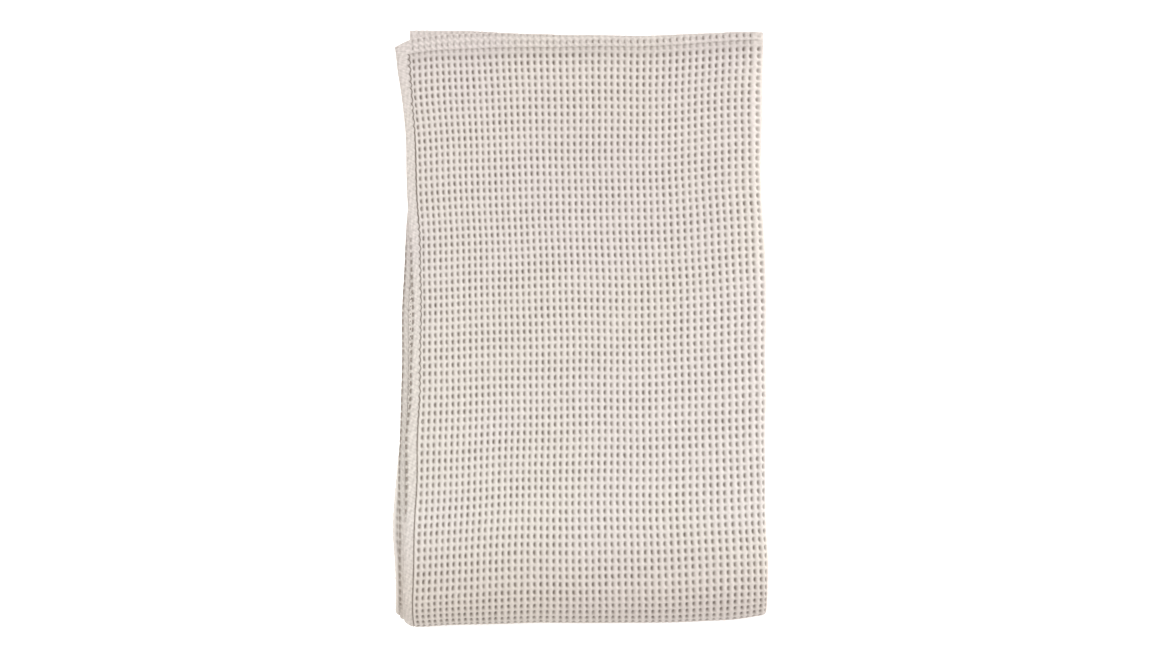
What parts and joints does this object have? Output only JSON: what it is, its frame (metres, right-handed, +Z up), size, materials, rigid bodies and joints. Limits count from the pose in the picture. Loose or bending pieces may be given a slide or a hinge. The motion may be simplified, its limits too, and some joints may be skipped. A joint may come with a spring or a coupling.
{
  "type": "folded bedspread",
  "caption": "Off-white cotton bedspread in a waffle weave, folded into a flat rectangular bundle with hemmed edges at one side and end and rounded folds at the others",
  "frame": {"origin": "below the middle of the folded bundle, on the surface it lies on", "axes": "+X across the bundle from the hemmed side to the folded side, +Y along the bundle towards the hemmed end, +Z up from the surface"},
  "size_m": [0.3984, 0.634, 0.0445],
  "materials": {
    "waffle_cotton": "undyed waffle-weave cotton, matt and soft, warm off-white"
  },
  "bodies": {
    "root": {"bedspread": "waffle_cotton"}
  },
  "joints": []
}
